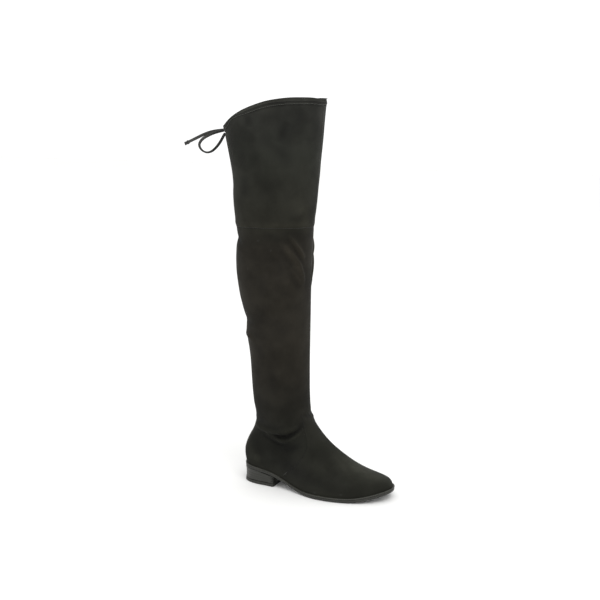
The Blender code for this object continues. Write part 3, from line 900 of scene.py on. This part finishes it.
@dataclass
class Upper:
    """Foot and shaft of soft suede, with folds, seams, a stitched collar and a lining."""

    cloth: bpy.types.Material
    lining: bpy.types.Material
    thread: bpy.types.Material
    cord: bpy.types.Material
    levels: int = 2
    wave: float = 0.35 * MM
    wave_scale: tuple = (24.0, 24.0, 15.0)
    settle: float = 8.0 * MM
    lip_lean: float = 2.2 * MM
    lip_depth: float = 5.0 * MM
    lip_turns: tuple = (0.40, 0.55)
    knee_swell: tuple = (0.75 * MM, 6.0 * MM, 5.0 * MM)
    knee_pinch: tuple = (-0.45 * MM, 0.0, 2.6 * MM)
    ruffle: tuple = (0.07 * MM, 6.0 * MM)
    long_faces: tuple = ((8.3 * MM, 3, 0.52), (12.0 * MM, 1, 0.14))
    tunnel: float = 11.5 * MM
    rim_angle: float = 62.0
    lint_size: float = 1.6 * MM
    folds: tuple = ANKLE_FOLDS + KNEE_FOLDS + THIGH_FOLDS
    knee_seam: KneeSeam = KneeSeam()
    hem_stitch: float = 8.8 * MM
    hem_row: Stitch = Stitch(2.6 * MM, 0.65 * MM, 3.0 * MM)
    knee_row: Stitch = Stitch(1.1 * MM, 0.8 * MM, 3.3 * MM)
    vamp_row: Stitch = Stitch(1.9 * MM, 0.34 * MM, 2.6 * MM)
    tack_row: Stitch = Stitch(2.6 * MM, 0.8 * MM, 2.6 * MM)
    rim: np.ndarray = field(default=None, repr=False)
    axis: np.ndarray = field(default=None, repr=False)
    tree: BVHTree = field(default=None, repr=False)

    def build(self) -> None:
        """Make the skin first, then what is sewn on it."""
        skin = self._skin()
        self.tree = BVHTree.FromObject(skin, bpy.context.evaluated_depsgraph_get())
        hem = self._around(lambda turn: self._collar(turn) - self.hem_stitch)
        knee = self._around(lambda turn: self.knee_seam.level(turn, 0.048) + 0.4 * MM)
        sew("collar_stitches", hem, self.hem_row, self.thread)
        sew("knee_stitches", knee, self.knee_row, self.thread)
        for side in Side:
            row = self._beside(VAMP_SEAM, side, -1.6 * MM)
            tack = self._beside(TACK, side, 0.0)
            sew(f"vamp_stitches_{side.name.lower()}", row, self.vamp_row, self.cord)
            sew(f"vamp_tack_{side.name.lower()}", tack, self.tack_row, self.cord)

    def _skin(self) -> bpy.types.Object:
        """Copy the CAD upper, round it and press the folds into it."""
        data = node_mesh("upper")
        self._measure(data)
        self._split_long(data)
        self._mark_lining(data)
        skin = finished("upper_skin", data, self.cloth, self.lining)
        rounded(skin, self.levels)
        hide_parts("upper")
        self._press(skin.data)
        LOG.info("upper_skin: %d faces", len(skin.data.polygons))
        return skin

    def _measure(self, data: bmesh.types.BMesh) -> None:
        """Read the collar's edge and the middle line of the leg from the mesh."""
        top = set()
        for face in data.faces:
            if face.normal.z > 0.7 and face.calc_center_median().z > 0.5:
                top.update(face.verts)
        places = np.array([v.co for v in data.verts])
        levels = np.linspace(0.10, 0.58, 49)
        slice_half = 0.014
        foot_level, foot_middle = 0.13, 0.033
        middle = []
        for level in levels:
            near = places[np.abs(places[:, 2] - level) < slice_half]
            middle.append(0.5 * (near[:, 0].min() + near[:, 0].max()) if level > foot_level else foot_middle)
        self.axis = np.array([levels, middle])
        edge = sorted((self._turn(np.array([v.co])[0]), v.co.z) for v in top)
        self.rim = np.array(edge).T

    def _turn(self, point: np.ndarray) -> float:
        """Turn about the leg, 0 at the front and negative on the outer side."""
        middle = np.interp(point[2], *self.axis)
        return math.atan2(point[1], point[0] - middle)

    def _collar(self, turn: np.ndarray) -> np.ndarray:
        """Height of the collar's edge at a turn."""
        return np.interp(turn, *self.rim, period=2.0 * math.pi)

    def _split_long(self, data: bmesh.types.BMesh) -> None:
        """Halve the shaft's long faces so that folds and collar find enough points."""
        for tall, cuts, low in self.long_faces:
            edges = []
            for edge in data.edges:
                run = edge.verts[0].co - edge.verts[1].co
                upright = abs(run.z) > 0.8 * run.length and abs(run.z) > tall
                near_edge = cuts == 1 or self._near_collar(edge)
                if upright and min(v.co.z for v in edge.verts) > low and near_edge:
                    edges.append(edge)
            bmesh.ops.subdivide_edges(data, edges=edges, cuts=cuts, use_grid_fill=True)

    def _near_collar(self, edge: bmesh.types.BMEdge) -> bool:
        """Whether an edge lies in the collar's tunnel."""
        depths = [self._collar(self._turn(np.array(vert.co))) - vert.co.z for vert in edge.verts]
        return max(depths) < self.tunnel

    def _mark_lining(self, data: bmesh.types.BMesh) -> None:
        """Give the inner wall the lining, spreading from the outside up to the sharp rims."""
        bmesh.ops.recalc_face_normals(data, faces=data.faces)
        for face in data.faces:
            face.material_index = 1
        first = min(data.faces, key=lambda face: face.calc_center_median().y)
        first.material_index = 0
        open_faces = [first]
        while open_faces:
            for edge in open_faces.pop().edges:
                if edge.calc_face_angle(0.0) > math.radians(self.rim_angle):
                    continue
                for face in edge.link_faces:
                    if face.material_index:
                        face.material_index = 0
                        open_faces.append(face)

    def _press(self, mesh: bpy.types.Mesh) -> None:
        """Move the skin's points by the folds and store what the finish reads."""
        points = read_vectors(mesh.vertices, "co")
        normals = read_vectors(mesh.vertex_normals, "vector")
        inside = np.zeros(len(points), dtype=bool)
        for face in mesh.polygons:
            if face.material_index:
                inside[list(face.vertices)] = True
        folds = sum(fold.lift(points) for fold in self.folds)
        free = np.clip((points[:, 2] - self._foot_line(points)) / self.settle, 0.0, 1.0)
        rise = (folds + self._looseness(points)) * free
        outward = np.where(inside, -1.0, 1.0)[:, None] * normals
        moved = points + rise[:, None] * outward
        mesh.vertices.foreach_set("co", moved.ravel())
        stored = {
            "collar_depth": self._collar(self._turns(points)) - points[:, 2],
            "vamp_seam": self._nearest_seam(points, normals),
            "fold_lift": folds / MM,
            "lint": self._lint_marks(points),
            "nap_and_light_patches": sum(patch.lift(points) for patch in NAP_AND_LIGHT_PATCHES) / MM,
        }
        for name, values in stored.items():
            layer = mesh.attributes.new(name, "FLOAT", "POINT")
            layer.data.foreach_set("value", np.ascontiguousarray(values, dtype=np.float32))
        mesh.update()

    def _lint_marks(self, points: np.ndarray) -> np.ndarray:
        """How much of a lint mark lies on each point."""
        nearest = np.min([np.linalg.norm(points - np.array(place) * MM, axis=1) for place in LINT], axis=0)
        return np.clip(1.0 - nearest / self.lint_size, 0.0, 1.0)

    def _turns(self, points: np.ndarray) -> np.ndarray:
        """Turns about the leg of many points."""
        middle = np.interp(points[:, 2], *self.axis)
        return np.arctan2(points[:, 1], points[:, 0] - middle)

    @staticmethod
    def _foot_line(points: np.ndarray) -> np.ndarray:
        """Height of the welt along the foot, below which nothing moves."""
        return np.interp(points[:, 0], *np.array(FOOT_LINE).T)

    def _looseness(self, points: np.ndarray) -> np.ndarray:
        """Soft waves of loose cloth, the collar's lean at the front and the pucker at the knee seam."""
        cloud = np.array([noise.noise(Vector(place)) for place in points * np.array(self.wave_scale)])
        turns = self._turns(points)
        depth = self._collar(turns) - points[:, 2]
        shaft = np.clip((points[:, 2] - 0.12) / 0.08, 0.15, 1.0)
        total = self.wave * cloud * shaft * np.clip(depth / 0.03, 0.0, 1.0)
        middle, spread = self.lip_turns
        total = total - self.lip_lean * bell(depth, self.lip_depth) * bell(turns - middle, spread)
        gap = self.knee_seam.over(points)
        for rise, over, reach in (self.knee_swell, self.knee_pinch):
            total = total + rise * bell(gap - over, reach)
        ripples = np.sin(61.0 * turns) + 0.7 * np.sin(37.0 * turns + 1.1)
        return total + self.ruffle[0] * ripples * bell(gap, self.ruffle[1])

    def _nearest_seam(self, points: np.ndarray, normals: np.ndarray) -> np.ndarray:
        """Signed distance to the nearer of the two vamp seams."""
        outer = self._seam_distance(points, normals, Side.OUTER)
        inner = self._seam_distance(points, normals, Side.INNER)
        return np.where(np.abs(outer) < np.abs(inner), outer, inner)

    @staticmethod
    def _seam_distance(points: np.ndarray, normals: np.ndarray, side: Side) -> np.ndarray:
        """Signed distance to one vamp seam."""
        line = np.array(VAMP_SEAM, dtype=float) * MM
        line[:, 1] *= -side.value
        away, _, part = line_distance(points, line)
        run = np.diff(line, axis=0)[part]
        hand = np.einsum("ij,ij->i", np.cross(run, points - line[part]), normals)
        return away * np.where(hand < 0.0, -1.0, 1.0)

    def _around(self, height: Callable[[float], float]) -> list:
        """Places on the skin round the leg.

        Args:
            height: Gives the height at a turn.

        Returns:
            Pairs of a place and the skin's normal there, closed to a ring.
        """
        found = []
        for turn in np.linspace(-math.pi, math.pi, 181):
            level = float(height(turn))
            middle = Vector((float(np.interp(level, *self.axis)), 0.0, level))
            ray = Vector((math.cos(turn), math.sin(turn), 0.0))
            place, normal, _, _ = self.tree.ray_cast(middle + 0.3 * ray, -ray)
            found.append((place, normal))
        return found

    def _beside(self, line: tuple, side: Side, shift: float) -> list:
        """Places on the skin at one side of a seam.

        Args:
            line: The seam in millimetres on the outer side.
            side: The foot's side.
            shift: How far in front of the seam.

        Returns:
            Pairs of a place and the skin's normal there.
        """
        corners = [Vector((x, -side.value * y, z)) * MM for x, y, z in line]
        found = []
        for low, high in zip(corners, corners[1:]):
            for share in np.linspace(0.0, 1.0, 6, endpoint=False):
                place, normal, _, _ = self.tree.find_nearest(low.lerp(high, share))
                ahead = (high - low).cross(normal).normalized()
                ahead = ahead if ahead.x > 0.0 else -ahead
                place, normal, _, _ = self.tree.find_nearest(place + shift * ahead)
                found.append((place, normal))
        return found


@dataclass
class Sole:
    """Outsole, welt and insole, with the welt's stitches in their groove."""

    edge: bpy.types.Material
    tread: bpy.types.Material
    cloth: bpy.types.Material
    thread: bpy.types.Material
    row: Stitch = Stitch(1.5 * MM, 0.55 * MM, 3.4 * MM)
    middle: tuple = (0.085, 0.0)

    def build(self) -> None:
        """Dress the three plates and stitch the welt."""
        dress_node("outsole", self.tread, 2, 60.0)
        welt = dress_node("welt", self.edge, 2, 60.0)
        dress_node("insole", self.cloth, 1, 50.0)
        sew("welt_stitches", self._groove(welt), self.row, self.thread)

    def _groove(self, welt: bpy.types.Object) -> list:
        """Places half way up the welt's side, all round it."""
        tree = BVHTree.FromObject(welt, bpy.context.evaluated_depsgraph_get())
        found = []
        for turn in np.linspace(-math.pi, math.pi, 241):
            ray = Vector((math.cos(turn), math.sin(turn), 0.0))
            heights = []
            for level in np.arange(0.0, 0.045, 0.4 * MM):
                place, normal, _, _ = tree.ray_cast(Vector((*self.middle, level)) + 0.3 * ray, -ray, 0.3)
                if place and normal.z < 0.8:
                    heights.append((place, normal))
            found.append(heights[len(heights) // 2])
        return found


@dataclass
class Heel:
    """Low block with stack lines, and its top lift."""

    block: bpy.types.Material
    lift: bpy.types.Material
    fades: tuple = ((0.18, 2), (0.32, 30))
    band: tuple = (2.0 * MM, 16.0 * MM)

    def build(self) -> None:
        """Dress both pieces."""
        self._ease_side(dress_node("heel", self.block, 2, 45.0))
        dress_node("top_lift", self.lift, 2, 45.0)

    def _ease_side(self, block: bpy.types.Object) -> None:
        """Let the stack lines fade out from the rounded back towards the breast."""
        low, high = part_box("heel")
        data = bmesh.new()
        data.from_mesh(block.data)
        data.normal_update()
        for share, times in self.fades:
            start = low[0] + share * (high[0] - low[0])
            side = []
            for vert in data.verts:
                level = vert.co.z - low[2]
                if vert.co.x > start and self.band[0] < level < self.band[1] and abs(vert.normal.x) < 0.7:
                    side.append(vert)
            for _ in range(times):
                bmesh.ops.smooth_vert(data, verts=side, factor=0.5, use_axis_x=True, use_axis_y=True)
        data.to_mesh(block.data)
        data.free()


@dataclass(frozen=True)
class Twist:
    """Turns of a flat lace at even steps in degrees, and how its face is carried along."""

    turns: tuple
    mode: str = "Z_UP"


@dataclass(frozen=True)
class Strand:
    """One kind of strand: its places as shares of its reach, out, down and across."""

    name: str
    table: tuple
    reach: float
    twist: Twist
    steps: int
    knotted: bool


LOOP = Strand(
    "loop",
    (
        (0.10, -0.02, 0.00), (0.30, 0.02, -0.02), (0.60, 0.10, -0.05), (0.88, 0.24, -0.04),
        (1.00, 0.42, 0.00), (0.92, 0.60, 0.04), (0.72, 0.70, 0.06), (0.50, 0.64, 0.06),
        (0.28, 0.42, 0.04), (0.12, 0.16, 0.02), (0.07, 0.08, 0.00),
    ),
    46.0 * MM,
    Twist((-20, -20, 5, 50, 50, 0, -20, -20), "MINIMUM"),
    64,
    False,
)
TAIL = Strand(
    "tail",
    (
        (0.05, -0.02, 0.02), (0.20, -0.01, 0.04), (0.40, 0.02, 0.04),
        (0.60, 0.08, 0.02), (0.80, 0.16, -0.01), (1.00, 0.245, -0.02),
    ),
    64.0 * MM,
    Twist((0, 10, 5, 10, 20, 30)),
    40,
    True,
)
END_TWIST = Twist((0, 90, 180))


@dataclass
class Bow:
    """The collar's flat suede lace, tied in a bow with knotted ends."""

    cloth: bpy.types.Material
    width: float = 4.6 * MM
    thick: float = 1.4 * MM
    end_round: float = 1.8 * MM
    end_squash: tuple = (0.65, 0.45, 0.8)
    end_size: tuple = (3.2 * MM, 2.0 * MM)
    end_ahead: float = 3.0 * MM
    leans: dict = field(default_factory=lambda: {Side.OUTER: 53.0, Side.INNER: 72.0})
    centre: Vector = field(default=None, repr=False)

    def build(self) -> None:
        """Tie the knot, then lay both loops and both ends."""
        low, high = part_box("tie_knot")
        self.centre = 0.5 * (low + high)
        self._knot()
        for side, lean in self.leans.items():
            for strand in (LOOP, TAIL):
                self._lace(strand, side, self._places(strand, lean, side))

    def _places(self, strand: Strand, lean: float, side: Side) -> list:
        """Turn a strand's shares into places beside the knot."""
        out = Vector((-math.cos(math.radians(lean)), side.value * math.sin(math.radians(lean)), 0.0))
        across = Vector((out.y, -out.x, 0.0))
        down = Vector((0.0, 0.0, -1.0))
        found = []
        for outward, lower, sideways in strand.table:
            shift = outward * out + sideways * across + lower * down
            found.append(self.centre + strand.reach * shift)
        return found

    @staticmethod
    def _smooth(places: list, count: int) -> np.ndarray:
        """Even steps along a smooth curve through a few places."""
        points = np.array(places)
        ends = np.vstack([2.0 * points[0] - points[1], points, 2.0 * points[-1] - points[-2]])
        fine = []
        for here in range(1, len(ends) - 2):
            before, start, stop, after = ends[here - 1 : here + 3]
            for part in np.linspace(0.0, 1.0, 12, endpoint=False):
                bend = 2.0 * before - 5.0 * start + 4.0 * stop - after
                twist = 3.0 * (start - stop) + after - before
                fine.append(0.5 * (2.0 * start + (stop - before) * part + bend * part**2 + twist * part**3))
        fine = np.vstack(fine + [points[-1]])
        run = np.concatenate([[0.0], np.cumsum(np.linalg.norm(np.diff(fine, axis=0), axis=1))])
        even = np.linspace(0.0, run[-1], count)
        return np.column_stack([np.interp(even, run, fine[:, axis]) for axis in range(3)])

    def _ribbon(
        self, name: str, path: np.ndarray, twist: Twist, size: tuple, closed: bool = False
    ) -> bpy.types.Object:
        """Sweep the flat lace along a path.

        Args:
            name: The piece's name.
            path: The middle line.
            twist: How the flat face turns.
            size: The lace's width and thickness.
            closed: Whether the ends meet.

        Returns:
            The lace as a mesh.
        """
        curve = bpy.data.curves.new(name, "CURVE")
        curve.dimensions = "3D"
        width, thick = size
        curve.twist_mode = twist.mode
        curve.extrude = 0.5 * (width - thick)
        curve.bevel_depth = 0.5 * thick
        curve.bevel_resolution = 2
        curve.use_fill_caps = not closed
        spline = curve.splines.new("POLY")
        spline.use_cyclic_u = closed
        spline.points.add(len(path) - 1)
        marks = np.linspace(0.0, 1.0, len(twist.turns))
        turns = np.interp(np.linspace(0.0, 1.0, len(path)), marks, twist.turns)
        for point, place, turn in zip(spline.points, path, turns):
            point.co = (*place, 1.0)
            point.tilt = math.radians(turn)
        holder = bpy.data.objects.new(name + "_line", curve)
        bpy.context.scene.collection.objects.link(holder)
        graph = bpy.context.evaluated_depsgraph_get()
        mesh = bpy.data.meshes.new_from_object(holder.evaluated_get(graph), depsgraph=graph)
        data = bmesh.new()
        data.from_mesh(mesh)
        bpy.data.objects.remove(holder)
        bpy.data.meshes.remove(mesh)
        bmesh.ops.remove_doubles(data, verts=data.verts, dist=0.01 * MM)
        bmesh.ops.recalc_face_normals(data, faces=data.faces)
        for face in data.faces:
            face.material_index = 0
        return finished(name, data, self.cloth)

    def _lace(self, strand: Strand, side: Side, places: list) -> None:
        name = f"tie_{strand.name}_{side.name.lower()}"
        path = self._smooth(places, strand.steps)
        lace = self._ribbon(name + "_lace", path, strand.twist, (self.width, self.thick))
        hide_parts(name)
        extra = {"with_pieces": [self._end_knot(name, path)]} if strand.knotted else {}

    def _end_knot(self, name: str, path: np.ndarray) -> bpy.types.Object:
        """A small overhand knot at the end of a lace."""
        turns = np.linspace(0.0, 2.0 * math.pi, 48, endpoint=False)
        ring = np.column_stack([
            np.sin(turns) + 2.0 * np.sin(2.0 * turns),
            np.cos(turns) - 2.0 * np.cos(2.0 * turns),
            -np.sin(3.0 * turns),
        ])
        ring = ring * self.end_round * np.array(self.end_squash)
        ahead = Vector(path[-1] - path[-2]).normalized()
        turn = np.array(ahead.to_track_quat("X", "Z").to_matrix())
        places = ring @ turn.T + path[-1] + self.end_ahead * np.array(ahead)
        knot = self._ribbon(name + "_end_knot", places, END_TWIST, self.end_size, closed=True)
        return knot

    def _knot(self) -> None:
        """The bow's knot: a band of lace drawn round crossed strands."""
        data = bmesh.new()
        bmesh.ops.create_uvsphere(data, u_segments=24, v_segments=16, radius=3.0 * MM)
        bmesh.ops.scale(data, verts=data.verts, vec=(0.86, 1.05, 0.92))
        for vert in data.verts:
            bulge = noise.noise(vert.co * 420.0)
            vert.co += vert.co.normalized() * 0.35 * MM * bulge
        band = bmesh.ops.create_uvsphere(data, u_segments=32, v_segments=16, radius=3.5 * MM)["verts"]
        bmesh.ops.scale(data, verts=band, vec=(0.92, 0.5, 0.98))
        bmesh.ops.translate(data, verts=data.verts, vec=self.centre)
        knot = finished("tie_knot_band", data, self.cloth)
        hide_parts("tie_knot")


@dataclass
class Studio:
    """White sweep, soft light from all round and the camera at the photo's place."""

    floor_size: float = 14.0
    camera: tuple = (0.7206, -1.3482, 0.600)
    pitch: float = 11.375
    turn: float = 26.0
    lens: float = 60.0
    sky: float = 1.14
    floor_white: tuple = (0.88, 0.88, 0.87, 1.0)
    key_place: tuple = (1.5, -1.2, 3.0)
    key_aim: tuple = (0.05, 0.0, 0.3)
    key_size: float = 1.8
    key_power: float = 39.0

    def build(self) -> None:
        """Set floor, light and camera."""
        self._camera()
        self._floor()
        self._sky()
        self._lamp()

    def _camera(self) -> None:
        """Place the camera, level with the boot's collar and tipped down."""
        eye = bpy.data.cameras.new("photo_view")
        eye.lens = self.lens
        eye.sensor_width = 36.0
        holder = bpy.data.objects.new("photo_view", eye)
        holder.location = self.camera
        holder.rotation_euler = (math.radians(90.0 - self.pitch), 0.0, math.radians(self.turn))
        bpy.context.scene.collection.objects.link(holder)
        bpy.context.scene.camera = holder

    def _floor(self) -> None:
        """A plain white floor."""
        data = bmesh.new()
        bmesh.ops.create_grid(data, x_segments=1, y_segments=1, size=0.5 * self.floor_size)
        mesh = bpy.data.meshes.new("floor")
        data.to_mesh(mesh)
        data.free()
        material, _, shader, _ = blank("white_floor")
        shader.inputs["Base Color"].default_value = self.floor_white
        shader.inputs["Roughness"].default_value = 0.8
        shader.inputs["Specular IOR Level"].default_value = 0.1
        mesh.materials.append(material)
        floor = bpy.data.objects.new("floor", mesh)
        bpy.context.scene.collection.objects.link(floor)

    def _sky(self) -> None:
        """Even white light from everywhere."""
        world = bpy.data.worlds.new("white_room")
        world.use_nodes = True
        glow = world.node_tree.nodes["Background"].inputs
        glow["Color"].default_value = (1.0, 1.0, 1.0, 1.0)
        glow["Strength"].default_value = self.sky
        bpy.context.scene.world = world
        bpy.context.scene.view_settings.view_transform = "Standard"

    def _lamp(self) -> None:
        """Hang one soft lamp that faces the boot."""
        light = bpy.data.lights.new("key", "AREA")
        light.size = self.key_size
        light.energy = self.key_power
        lamp = bpy.data.objects.new("key", light)
        lamp.location = self.key_place
        aim = Vector(self.key_aim) - lamp.location
        lamp.rotation_euler = aim.to_track_quat("-Z", "Y").to_euler()
        bpy.context.scene.collection.objects.link(lamp)


def main() -> None:
    """Build the boot piece by piece."""
    logging.basicConfig(level=logging.INFO, format="%(message)s")
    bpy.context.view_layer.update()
    effects = Effects()
    thread = Thread().make()
    lining = Lining().make()
    Studio().build()
    Bow(LaceCloth().make(effects)).build()
    dark_thread = Thread("dark_thread", (0.026, 0.026, 0.023)).make()
    Upper(Suede().make(effects), lining, thread, dark_thread).build()
    edge = Rubber("welt_rubber", SoleTone.EDGE).make(effects)
    tread = Rubber("outsole_rubber", SoleTone.SIDE, roughness=0.5).make(effects)
    insole = Lining("insole_cloth", (0.020, 0.020, 0.018), 900.0).make()
    Sole(edge, tread, insole, Thread("welt_thread", (0.060, 0.061, 0.054)).make()).build()
    block = Rubber("heel_stack", SoleTone.BLOCK, roughness=0.42, dust=0.3).make(effects)
    Heel(block, Rubber("top_lift_rubber", SoleTone.SIDE, roughness=0.6).make(effects)).build()


if __name__ == "__main__":
    main()
